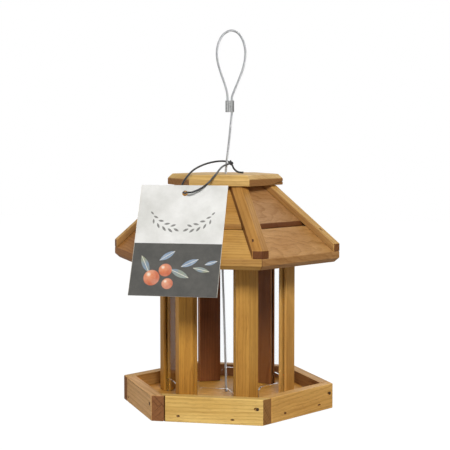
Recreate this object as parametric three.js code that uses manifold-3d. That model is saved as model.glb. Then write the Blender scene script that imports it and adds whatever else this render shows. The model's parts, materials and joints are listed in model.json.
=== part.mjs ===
// A hanging bird feeder: a six-sided timber tray, a seed hopper of clear panels between six posts,
// and a boarded roof that slides up the wire it all hangs from.
// Lengths are in millimetres and turns in radians. The origin is at the centre of the tray,
// on the plane that its rails stand on. The front side faces -Y.

import * as THREE from "three";
import { mergeVertices } from "three/addons/utils/BufferGeometryUtils.js";
import Module from "manifold-3d";

const wasm = await Module();
wasm.setup();

// The six sides and the six corners, anticlockwise from above. Corner k ends side k.
const SIDE_NAMES = ["front", "right_front", "right_back", "back", "left_back", "left_front"];
const CORNER_NAMES = ["front_right", "right", "back_right", "back_left", "left", "front_left"];
const SIDES = SIDE_NAMES.length;
const SIDE_TURN = (2 * Math.PI) / SIDES;
const HALF_TURN = SIDE_TURN / 2;
const FRONT_TURN = -Math.PI / 2;
const COS = Math.cos(HALF_TURN);
const SIN = Math.sin(HALF_TURN);
const TAN = Math.tan(HALF_TURN);

// Clearances
const jointGap = 0.3; // between pieces that rest on, or butt against, each other
const screwGap = 0.2; // round a nail or a screw in its hole
const wireGap = 0.3; // round the wire in its ferrules
const overrun = 2; // how far a cutting body runs past the face that it opens

// Tray
const trayRadius = 117.5; // centre to a corner
const railThickness = 12;
const railHeight = 27;
const floorDrop = 13.5; // rim to floor
const floorThickness = 6.5;

// Corner nails, driven along the next rail's length into its end
const nailInset = 7.2; // from the tray's corner, along the face
const nailDrop = 10; // below the rim
const nailSink = 0.6;
const nailHeadRadius = 1.7;
const nailHeadThickness = 0.9;
const nailShankRadius = 0.85;
const nailLength = 24;
const nailPoint = 2;

// Posts, with a groove in each flank for a panel
const postInset = 42; // from a corner of the tray to the post's outer arris
const postWidth = 24.8;
const postFlank = 8.5; // depth of a flank, from the shoulder to the back face
const grooveWidth = 2.6;
const grooveDepth = 4.2;

// Post screws, driven up through the floor
const screwShankRadius = 1.75;
const screwHeadRadius = 3.4;
const screwHeadHeight = 2.2;
const screwCrownRadius = 2;
const screwLength = 26; // under the head
const screwPoint = 4;

// Clear panels, each with a seed opening at its foot
const panelThickness = 2;
const panelEndGap = 0.5; // in the bottom of the groove
const slotHeight = 15;
const slotMargin = 2.5; // from the post to the opening
const slotCorner = 6;

// Ring on the posts, which the roof stands on
const ringOverhang = 0.6; // outside the posts
const ringLip = 1.8; // inside them
const ringThickness = 8;

// Roof
const roofTurn = THREE.MathUtils.degToRad(-1); // it sits slightly askew on the posts
const roofShift = -1.8; // and a little to the left of their centre
const eaveOverhang = 8.6; // at the corners, past the tray
const eaveHeight = 170.6; // base to the eave's upper arris
const boardThickness = 11.5;
const fasciaHeight = 6.6; // plumb part of the boards' lower edge
const lapRise = 27.4; // eave to the joint between the lower and upper boards
const lapSetback = 5.1; // ledge of the lower board in front of the upper one
const roofRise = 70.6; // eave to the top of the boards
const roofTopRadius = 46.7; // centre to a corner of the boards' upper edge
const battenWidth = 18;
const battenHeight = 8.7; // measured plumb, above the boards
const blockHeight = 20;
const roofBore = 2.8;

// Cap
const capTurn = THREE.MathUtils.degToRad(5.3); // it is fixed a little askew
const capRadius = 63.3; // centre to a corner
const capEdgeHeight = 6.9;
const capBevelHeight = 4.9;
const capBevelWidth = 4.6;

// Wire and its ferrules. The loop lies in a plane that is turned a little from the front.
const loopTurn = THREE.MathUtils.degToRad(12);
const wireDiameter = 2.5;
const wireSteps = 78;
const routeUnit = 1; // a unit of the wire's and the cord's route lists
const washerRadius = 7;
const washerThickness = 1;
const stopRadius = 3.2;
const stopHeight = 4.2;
const floorBore = 2.2;
const ferruleFoot = 320; // base to the loop ferrule's lower end
const ferruleHeight = 12.4;
const ferruleWall = 1.2;
const ferruleWaist = 1.9; // half the ferrule's depth between its two barrels
const liveBarrel = 5.7; // from the feeder's axis to the barrel that takes the loaded strand
const deadBarrel = 1.1; // and to the barrel that takes the strand's end

// Tag and its cord
const tagWidth = 92;
const tagHeight = 122;
const tagThickness = 0.8;
const tagLean = THREE.MathUtils.degToRad(26.7); // from upright
const tagHoleRadius = 3.2;
const tagHoleInset = 47.4; // from the tag's left edge
const tagHoleDrop = 9.1; // from its top edge
const tagHoleSide = -26.9; // from the feeder's axis, along the front
const tagHoleRise = 62.1; // from the batten that the tag leans on, along the tag
const cordDiameter = 2;
const cordSteps = 52;
const cordTailSteps = 4;
const knotRadius = 2.3;

// Segments of round shapes
const ROUND_SEGMENTS = 24;
const SMALL_SEGMENTS = 12;
const CORNER_SEGMENTS = 5;
const TUBE_SIDES = 8;
const KNOT_SEGMENTS = 12;
const KNOT_RINGS = 8;

// Sizes that follow from those above
const trayApothem = trayRadius * COS;
const postRadius = trayRadius - postInset;
const eaveRadius = trayRadius + eaveOverhang;
const floorTop = railHeight - floorDrop;
const floorUnder = floorTop - floorThickness;
const postShoulder = postRadius - (postWidth / 2) * TAN;
const postBack = postShoulder - postFlank;
const grooveMouth = postShoulder - postFlank / 2;
const panelApothem = grooveMouth * COS + (postWidth / 2) * SIN;
const panelHalfView = panelApothem * TAN - postWidth / 2 / COS;
const ringOuterApothem = postRadius * COS + ringOverhang;
const ringInnerApothem = postBack * COS - ringLip;
const eaveApothem = eaveRadius * COS;
const roofPitch = Math.atan2(roofRise, eaveApothem - roofTopRadius * COS);
const roofTop = eaveHeight + roofRise;
const capFoot = roofTop + jointGap;
const boardFoot = floorTop + jointGap;
const ringTop = undersideHeight(ringReach()) - jointGap;
const ringFoot = ringTop - ringThickness;
const postTop = ringFoot - jointGap;
const postHeight = postTop - boardFoot;
const screwRadius = (postRadius + postBack) / 2;
const stopTop = floorUnder - jointGap - washerThickness - jointGap;

// Roof surfaces: heights at a distance from the axis, square to a side, and the other way round
function surfaceHeight(apothem) {
  return eaveHeight + (eaveApothem - apothem) * Math.tan(roofPitch);
}

function undersideHeight(apothem) {
  return surfaceHeight(apothem) - boardThickness / Math.cos(roofPitch);
}

function surfaceApothem(height) {
  return eaveApothem - (height - eaveHeight) / Math.tan(roofPitch);
}

function undersideApothem(height) {
  return surfaceApothem(height + boardThickness / Math.cos(roofPitch));
}

// How far the ring's corners reach under a roof side, with the roof turned and shifted as it is.
function ringReach() {
  const reaches = [];
  SIDE_NAMES.forEach((_, corner) => {
    const x = (ringOuterApothem / COS) * Math.cos(corner * SIDE_TURN) - roofShift;
    const y = (ringOuterApothem / COS) * Math.sin(corner * SIDE_TURN);
    SIDE_NAMES.forEach((_name, side) => {
      const turn = FRONT_TURN + roofTurn + side * SIDE_TURN;
      reaches.push(x * Math.cos(turn) + y * Math.sin(turn));
    });
  });
  return Math.max(...reaches);
}

// Materials
function material(color, roughness, metalness = 0) {
  return new THREE.MeshStandardMaterial({ color, roughness, metalness });
}

const timber = () => material(0xc0914e, 0.55);
const darkTimber = () => material(0x8a5a2c, 0.6);
const clear = () => {
  const made = material(0xeef2f4, 0.08);
  made.transparent = true;
  made.opacity = 0.3;
  return made;
};
const steel = () => material(0xb4b6b8, 0.35, 1);
const card = () => material(0xe6e5e2, 0.7);
const blackCord = () => material(0x141414, 0.8);

// Geometry helpers

// A closed body of the given points and triangles, with its faces turned outwards.
function bodyOf(points, triangles) {
  const volume = triangles.reduce((sum, [a, b, c]) => {
    return sum + points[a].dot(points[b].clone().cross(points[c]));
  }, 0);
  const faces = volume < 0 ? triangles.map(([a, b, c]) => [a, c, b]) : triangles;
  const geometry = new THREE.BufferGeometry().setFromPoints(points);
  geometry.setIndex(faces.flat());
  return geometry;
}

// Joins the shared vertices of a geometry, and drops the triangles that then have no area.
function welded(geometry) {
  const bare = geometry.index ? geometry.toNonIndexed() : geometry.clone();
  bare.deleteAttribute("normal");
  bare.deleteAttribute("uv");
  const merged = mergeVertices(bare);
  const position = merged.getAttribute("position");
  const points = [];
  for (let i = 0; i < position.count; i++) {
    points.push(new THREE.Vector3().fromBufferAttribute(position, i));
  }
  const triangles = [];
  for (let i = 0; i < merged.index.count; i += 3) {
    const [a, b, c] = [0, 1, 2].map((k) => merged.index.getX(i + k));
    if (a !== b && b !== c && c !== a) triangles.push([a, b, c]);
  }
  return bodyOf(points, triangles);
}

function manifoldOf(geometry) {
  const body = welded(geometry);
  return new wasm.Manifold(
    new wasm.Mesh({
      numProp: 3,
      vertProperties: body.getAttribute("position").array,
      triVerts: new Uint32Array(body.index.array),
    }),
  );
}

// The geometry with the cutting geometries taken out of it.
function cut(geometry, cutters) {
  const solid = cutters.reduce((left, cutter) => left.subtract(manifoldOf(cutter)), manifoldOf(geometry));
  const mesh = solid.getMesh();
  const result = new THREE.BufferGeometry();
  result.setAttribute("position", new THREE.BufferAttribute(mesh.vertProperties, 3));
  result.setIndex(new THREE.BufferAttribute(mesh.triVerts, 1));
  return result;
}

// A body between two rings of matching points. The cap's triangles close both ends.
function loft(first, last, cap) {
  const count = first.length;
  const triangles = cap.map(([a, b, c]) => [a, c, b]);
  cap.forEach(([a, b, c]) => triangles.push([a + count, b + count, c + count]));
  for (let i = 0; i < count; i++) {
    const next = (i + 1) % count;
    triangles.push([i, next, next + count], [i, next + count, i + count]);
  }
  return bodyOf([...first, ...last], triangles);
}

// An upright body of a plan outline, from one height to another.
function upright(shape, foot, top) {
  const geometry = new THREE.ExtrudeGeometry(shape, {
    depth: top - foot,
    bevelEnabled: false,
    curveSegments: CORNER_SEGMENTS,
  });
  return geometry.translate(0, 0, foot);
}

// A body turned round the Z axis from pairs of radius and height.
function turned(profile, segments = ROUND_SEGMENTS) {
  const points = profile.map(([radius, height]) => new THREE.Vector2(radius, height));
  return new THREE.LatheGeometry(points, segments).rotateX(Math.PI / 2);
}

// The same with six flat sides that face as the feeder's sides do. The pairs give apothems.
function sixSided(profile) {
  const pairs = profile.map(([apothem, height]) => [apothem / COS, height]);
  return turned(pairs, SIDES).rotateZ(HALF_TURN);
}

function hexagon(cornerRadius) {
  const corners = SIDE_NAMES.map((_, k) => {
    const turn = k * SIDE_TURN;
    return new THREE.Vector2(cornerRadius * Math.cos(turn), cornerRadius * Math.sin(turn));
  });
  return new THREE.Shape(corners);
}

function disc(x, y, radius) {
  return new THREE.Path().absarc(x, y, radius, 0, 2 * Math.PI);
}

// A round tube along a smooth curve through a route list's points.
function tube(route, diameter, steps) {
  const section = [];
  for (let i = 0; i < TUBE_SIDES; i++) {
    const turn = (i * 2 * Math.PI) / TUBE_SIDES;
    section.push(new THREE.Vector2(Math.cos(turn), Math.sin(turn)).multiplyScalar(diameter / 2));
  }
  const points = route.map((place) => new THREE.Vector3(...place).multiplyScalar(routeUnit));
  return new THREE.ExtrudeGeometry(new THREE.Shape(section), {
    steps,
    extrudePath: new THREE.CatmullRomCurve3(points, false, "centripetal"),
  });
}

const feeder = new THREE.Group();
const roof = new THREE.Group();
roof.rotation.z = roofTurn;
roof.position.x = roofShift;
feeder.add(roof);

// Adds a named piece to a group. Its place is set by the turn about the feeder's axis.
function add(group, name, geometry, look, turn = 0) {
  const mesh = new THREE.Mesh(welded(geometry), look);
  mesh.name = name;
  mesh.rotation.z = turn;
  group.add(mesh);
  return mesh;
}

// A piece is drawn facing +X and turned to its side or its corner.
const sideTurn = (k) => FRONT_TURN + k * SIDE_TURN;
const cornerTurn = (k) => sideTurn(k) + HALF_TURN;

// Tray

// The nail's outline, or with a gap its hole's, as pairs of radius and depth below the face.
function nailProfile(gap) {
  const headTop = gap > 0 ? -overrun : nailSink;
  const headFoot = nailSink + nailHeadThickness + gap;
  return [
    [0, headTop],
    [nailHeadRadius + gap, headTop],
    [nailHeadRadius + gap, headFoot],
    [nailShankRadius + gap, headFoot],
    [nailShankRadius + gap, nailSink + nailLength - nailPoint],
    [0, nailSink + nailLength + gap],
  ];
}

// The nail, or its hole, at the right-hand end of the rail that faces +X.
function nailGeometry(gap = 0) {
  const nail = turned(nailProfile(gap), SMALL_SEGMENTS).rotateY(-Math.PI / 2).rotateZ(-HALF_TURN);
  return nail.translate(trayApothem, trayRadius * SIN - nailInset, railHeight - nailDrop);
}

// Each rail runs through at its right-hand end, where it is cut flush with the next rail's face,
// and butts on the inner face of the rail before it.
function railGeometry() {
  const halfSide = trayRadius * SIN;
  const endGrain = railThickness / Math.sin(SIDE_TURN);
  const skew = railThickness * TAN;
  const butt = jointGap / Math.sin(SIDE_TURN);
  const outline = new THREE.Shape([
    new THREE.Vector2(trayApothem, endGrain + butt - halfSide),
    new THREE.Vector2(trayApothem, halfSide),
    new THREE.Vector2(trayApothem - railThickness, halfSide + skew),
    new THREE.Vector2(trayApothem - railThickness, endGrain + butt - halfSide - skew),
  ]);
  const ownHole = nailGeometry(screwGap);
  const holeBefore = nailGeometry(screwGap).rotateZ(-SIDE_TURN);
  return cut(upright(outline, 0, railHeight), [ownHole, holeBefore]);
}

function floorGeometry() {
  const shape = hexagon((trayApothem - railThickness - jointGap) / COS);
  shape.holes.push(disc(0, 0, floorBore));
  CORNER_NAMES.forEach((_, k) => {
    const x = screwRadius * Math.cos(k * SIDE_TURN);
    const y = screwRadius * Math.sin(k * SIDE_TURN);
    shape.holes.push(disc(x, y, screwShankRadius + screwGap));
  });
  return upright(shape, floorUnder, floorTop);
}

function screwGeometry() {
  const seat = floorUnder - jointGap;
  const profile = [
    [0, seat - screwHeadHeight],
    [screwCrownRadius, seat - screwHeadHeight],
    [screwHeadRadius, seat - screwHeadHeight / 2],
    [screwHeadRadius, seat],
    [screwShankRadius, seat],
    [screwShankRadius, seat + screwLength - screwPoint],
    [0, seat + screwLength],
  ];
  return turned(profile, SMALL_SEGMENTS).translate(screwRadius, 0, 0);
}

add(feeder, "tray_floor", floorGeometry(), timber());
SIDE_NAMES.forEach((name, k) => {
  add(feeder, `rail_${name}`, railGeometry(), timber(), sideTurn(k));
  add(feeder, `rail_nail_${name}`, nailGeometry(), steel(), sideTurn(k));
});

// Posts and panels

// The points of one flank, from the shoulder to the back, with the groove parallel to the side
// that the flank looks along. The hand is 1 for the left flank of a post that faces +X.
function flank(hand) {
  const half = postWidth / 2;
  const mouth = grooveWidth / 2 / COS;
  const bottomX = grooveMouth + grooveDepth * SIN;
  const bottomY = half - grooveDepth * COS;
  const points = [
    [postShoulder, half],
    [grooveMouth + mouth, half],
    [bottomX + (grooveWidth / 2) * COS, bottomY + (grooveWidth / 2) * SIN],
    [bottomX - (grooveWidth / 2) * COS, bottomY - (grooveWidth / 2) * SIN],
    [grooveMouth - mouth, half],
    [postBack, half],
  ];
  return points.map(([x, y]) => new THREE.Vector2(x, hand * y));
}

function postGeometry() {
  const outline = new THREE.Shape([new THREE.Vector2(postRadius, 0), ...flank(1), ...flank(-1).reverse()]);
  const pilotTop = floorUnder - jointGap + screwLength + screwGap;
  const pilot = turned(
    [
      [0, boardFoot - overrun],
      [screwShankRadius + screwGap, boardFoot - overrun],
      [screwShankRadius + screwGap, pilotTop],
      [0, pilotTop],
    ],
    SMALL_SEGMENTS,
  ).translate(screwRadius, 0, 0);
  return cut(upright(outline, boardFoot, postTop), [pilot]);
}

function panelGeometry() {
  const end = panelHalfView + grooveDepth - panelEndGap;
  const edge = panelHalfView - slotMargin;
  const height = postHeight;
  const shape = new THREE.Shape();
  shape.moveTo(-end, 0);
  shape.lineTo(-edge, 0);
  shape.lineTo(-edge, slotHeight - slotCorner);
  shape.absarc(slotCorner - edge, slotHeight - slotCorner, slotCorner, Math.PI, Math.PI / 2, true);
  shape.absarc(edge - slotCorner, slotHeight - slotCorner, slotCorner, Math.PI / 2, 0, true);
  shape.lineTo(edge, 0);
  shape.lineTo(end, 0);
  shape.lineTo(end, height);
  shape.lineTo(-end, height);
  const geometry = upright(shape, -panelThickness / 2, panelThickness / 2);
  const axes = [new THREE.Vector3(0, 1, 0), new THREE.Vector3(0, 0, 1), new THREE.Vector3(1, 0, 0)];
  geometry.applyMatrix4(new THREE.Matrix4().makeBasis(...axes));
  return geometry.translate(panelApothem, 0, boardFoot);
}

function ringGeometry() {
  const shape = hexagon(ringOuterApothem / COS);
  shape.holes.push(hexagon(ringInnerApothem / COS));
  return upright(shape, ringFoot, ringTop);
}

CORNER_NAMES.forEach((name, k) => {
  add(feeder, `post_${name}`, postGeometry(), timber(), cornerTurn(k));
  add(feeder, `post_screw_${name}`, screwGeometry(), steel(), cornerTurn(k));
});
SIDE_NAMES.forEach((name, k) => {
  add(feeder, `panel_${name}`, panelGeometry(), clear(), sideTurn(k));
});
add(feeder, "post_ring", ringGeometry(), darkTimber());

// Roof

// A board of the profile, given as pairs of apothem and height, between its two mitres.
function boardGeometry(profile) {
  const inset = jointGap / 2 / COS;
  const ring = (hand) =>
    profile.map(([apothem, height]) => new THREE.Vector3(apothem, hand * (apothem * TAN - inset), height));
  const outline = profile.map(([apothem, height]) => new THREE.Vector2(apothem, height));
  return loft(ring(-1), ring(1), THREE.ShapeUtils.triangulateShape(outline, []));
}

function lowerBoardProfile() {
  const lapHeight = eaveHeight + lapRise;
  const lip = boardThickness - fasciaHeight * Math.cos(roofPitch);
  return [
    [eaveApothem, eaveHeight],
    [surfaceApothem(lapHeight), lapHeight],
    [undersideApothem(lapHeight), lapHeight],
    [eaveApothem - lip * Math.sin(roofPitch), eaveHeight - fasciaHeight - lip * Math.cos(roofPitch)],
    [eaveApothem, eaveHeight - fasciaHeight],
  ];
}

function upperBoardProfile() {
  const face = surfaceApothem(eaveHeight + lapRise) - lapSetback;
  const bed = eaveHeight + lapRise + jointGap;
  return [
    [face, surfaceHeight(face)],
    [surfaceApothem(roofTop), roofTop],
    [undersideApothem(roofTop), roofTop],
    [undersideApothem(bed), bed],
    [face, bed],
  ];
}

// A batten lies along a hip. Its section is a chevron whose slopes follow the two roof surfaces,
// its lower end is cut flush with both eaves, and its upper end is cut level under the cap.
function battenGeometry() {
  const hipFall = Math.tan(roofPitch) * COS;
  const sideFall = Math.tan(roofPitch) * SIN;
  const seat = jointGap / Math.cos(roofPitch);
  const half = battenWidth / 2;
  const section = [
    [-half, seat],
    [0, seat],
    [half, seat],
    [half, battenHeight],
    [0, battenHeight],
    [-half, battenHeight],
  ];
  const cap = [
    [0, 1, 4],
    [0, 4, 5],
    [1, 2, 3],
    [1, 3, 4],
  ];
  const lowerEnd = section.map(([side, rise]) => {
    const radius = eaveRadius - Math.abs(side) * TAN;
    const height = eaveHeight + (eaveRadius - radius) * hipFall - Math.abs(side) * sideFall + rise;
    return new THREE.Vector3(radius, side, height);
  });
  const upperEnd = section.map(([side, rise]) => {
    const climb = roofTop - eaveHeight + Math.abs(side) * sideFall - rise;
    return new THREE.Vector3(eaveRadius - climb / hipFall, side, roofTop);
  });
  return loft(lowerEnd, upperEnd, cap);
}

function boreThrough(foot, top) {
  return turned([
    [0, foot - overrun],
    [roofBore, foot - overrun],
    [roofBore, top + overrun],
    [0, top + overrun],
  ]);
}

function blockGeometry() {
  const foot = roofTop - blockHeight;
  const sideGap = jointGap / Math.sin(roofPitch);
  const block = sixSided([
    [0, foot],
    [undersideApothem(foot) - sideGap, foot],
    [undersideApothem(roofTop) - sideGap, roofTop],
    [0, roofTop],
  ]);
  return cut(block, [boreThrough(foot, roofTop)]);
}

function capGeometry() {
  const apothem = capRadius * COS;
  const edgeTop = capFoot + capEdgeHeight;
  const top = edgeTop + capBevelHeight;
  const body = sixSided([
    [0, capFoot],
    [apothem, capFoot],
    [apothem, edgeTop],
    [apothem - capBevelWidth, top],
    [0, top],
  ]);
  return cut(body, [boreThrough(capFoot, top)]);
}

SIDE_NAMES.forEach((name, k) => {
  add(roof, `roof_board_lower_${name}`, boardGeometry(lowerBoardProfile()), timber(), sideTurn(k));
  add(roof, `roof_board_upper_${name}`, boardGeometry(upperBoardProfile()), timber(), sideTurn(k));
});
CORNER_NAMES.forEach((name, k) => {
  add(roof, `hip_batten_${name}`, battenGeometry(), timber(), cornerTurn(k));
});
add(roof, "roof_block", blockGeometry(), darkTimber());
add(roof, "roof_cap", capGeometry(), timber(), capTurn - roofTurn);

// Wire, from the stop ferrule under the floor up to the loop and back into the loop ferrule

const wirePoints = [
  [0, 0, 1.2],
  [0, 0, 8],
  [-0.6, 0, 22],
  [-1.6, 0, 62],
  [-2.6, 0, 95],
  [-4.1, 0, 138],
  [-4.9, 0, 165],
  [-4.7, 0, 187],
  [-3.4, 0, 205],
  [-1.9, 0, 221],
  [-1.3, 0, 234],
  [-1.1, 0, 252],
  [0.2, 0, 267],
  [2.7, 0, 289],
  [4.8, 0, 310],
  [5.7, 0, 320],
  [5.7, 0, 332.4],
  [6.1, 0, 337],
  [8.5, 0, 343.5],
  [12.4, 0, 352.8],
  [17.4, 0, 366],
  [20, 0, 378],
  [20, 0, 388.5],
  [17.2, 0, 398.2],
  [12.2, 0, 405.2],
  [5.3, 0, 407.8],
  [-2.8, 0, 404.2],
  [-8.2, 0, 395.8],
  [-10.5, 0, 384.3],
  [-9.3, 0, 373.2],
  [-6.2, 0, 362.5],
  [-1.4, 0, 348.6],
  [0.8, 0, 339.5],
  [1.1, 0, 332.4],
  [1.1, 0, 320],
];

// An oval sleeve with a barrel for each strand and a waist pressed in between them.
function ferruleGeometry() {
  const wall = wireDiameter / 2 + ferruleWall;
  const bend = Math.asin(ferruleWaist / wall);
  const shape = new THREE.Shape();
  shape.absarc(liveBarrel, 0, wall, bend - Math.PI, Math.PI - bend, false);
  shape.absarc(deadBarrel, 0, wall, bend, 2 * Math.PI - bend, false);
  shape.holes.push(disc(liveBarrel, 0, wireDiameter / 2 + wireGap));
  shape.holes.push(disc(deadBarrel, 0, wireDiameter / 2 + wireGap));
  return upright(shape, ferruleFoot, ferruleFoot + ferruleHeight);
}

// A round sleeve or washer.
function collar(bore, radius, foot, height) {
  return turned([
    [bore, foot],
    [radius, foot],
    [radius, foot + height],
    [bore, foot + height],
    [bore, foot],
  ]);
}

const wireBore = wireDiameter / 2 + wireGap;
add(feeder, "hanging_wire", tube(wirePoints, wireDiameter, wireSteps), steel(), loopTurn);
add(feeder, "loop_ferrule", ferruleGeometry(), steel(), loopTurn);
add(feeder, "stop_ferrule", collar(wireBore, stopRadius, stopTop - stopHeight, stopHeight), steel());
add(feeder, "stop_washer", collar(wireBore, washerRadius, stopTop + jointGap, washerThickness), steel());

// Tag, which hangs from its cord and leans on the lower end of the front left batten

// The middle of the tag's hole.
function tagHole() {
  const corner = cornerTurn(CORNER_NAMES.indexOf("front_left")) + roofTurn;
  const half = battenWidth / 2;
  const rest = (eaveRadius - half * TAN) * Math.sin(corner) + half * Math.cos(corner);
  const lift = eaveHeight + battenHeight;
  const proud = jointGap + tagThickness / 2;
  return new THREE.Vector3(
    tagHoleSide,
    rest + tagHoleRise * Math.sin(tagLean) - proud * Math.cos(tagLean),
    lift + tagHoleRise * Math.cos(tagLean) + proud * Math.sin(tagLean),
  );
}

function tagGeometry() {
  const left = -tagHoleInset;
  const right = tagWidth - tagHoleInset;
  const foot = tagHoleDrop - tagHeight;
  const shape = new THREE.Shape([
    new THREE.Vector2(left, foot),
    new THREE.Vector2(right, foot),
    new THREE.Vector2(right, tagHoleDrop),
    new THREE.Vector2(left, tagHoleDrop),
  ]);
  shape.holes.push(disc(0, 0, tagHoleRadius));
  return upright(shape, -tagThickness / 2, tagThickness / 2);
}

const tag = add(feeder, "tag_card", tagGeometry(), card());
tag.rotation.x = Math.PI / 2 - tagLean;
tag.position.copy(tagHole());

// The cord leaves its knot behind the wire, crosses the cap, goes through the tag from the back,
// and returns over the cap and in front of the wire.
const cordPoints = [
  [2.8, 3.8, 265.7],
  [-0.3, 4.7, 266.3],
  [-3.3, 3, 266.7],
  [-7.5, -2.5, 266.8],
  [-14.5, -13.2, 265.6],
  [-21, -26.8, 262.9],
  [-26.9, -42.2, 258.3],
  [-30.5, -56.8, 251.8],
  [-32.6, -66.4, 245.6],
  [-33.1, -70.7, 240.8],
  [-32.3, -72.3, 238.4],
  [-30.7, -74.2, 236.7],
  [-29.2, -76.5, 235.5],
  [-27.9, -78.8, 235.1],
  [-26.9, -81, 235.1],
  [-26.1, -83, 235.4],
  [-24.7, -85.2, 236],
  [-22.2, -86.9, 236.3],
  [-19, -87.5, 236.5],
  [-14.5, -86.2, 237.9],
  [-10.9, -84.3, 239.7],
  [-7.4, -82, 242],
  [-4.8, -79, 244.4],
  [-3.2, -69.5, 247.4],
  [-1.9, -61.6, 250.7],
  [-0.9, -54, 253.4],
  [-0.2, -46, 256],
  [0, -38.8, 258.2],
  [-0.2, -18.4, 261.7],
  [1.2, -8, 263.1],
  [3.5, -1.2, 264.1],
];
const cordTailPoints = [
  [5.9, 0.3, 263],
  [9, -2, 258.2],
  [13.4, -3.3, 255.2],
  [19.3, -4.1, 254.6],
];
const knotPlace = [4.4, 1.4, 265];

const knot = new THREE.SphereGeometry(knotRadius, KNOT_SEGMENTS, KNOT_RINGS);
knot.translate(...knotPlace.map((distance) => distance * routeUnit));
add(feeder, "tag_cord", tube(cordPoints, cordDiameter, cordSteps), blackCord());
add(feeder, "tag_cord_tail", tube(cordTailPoints, cordDiameter, cordTailSteps), blackCord());
add(feeder, "tag_cord_knot", knot, blackCord());

export default feeder;
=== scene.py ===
# The looks of a hanging bird feeder: oiled timber, clear panels, a wire rope and a card tag on a cord.
# Lengths are in metres and turns in degrees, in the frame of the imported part. The front side faces -Y.

import json
import math

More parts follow.
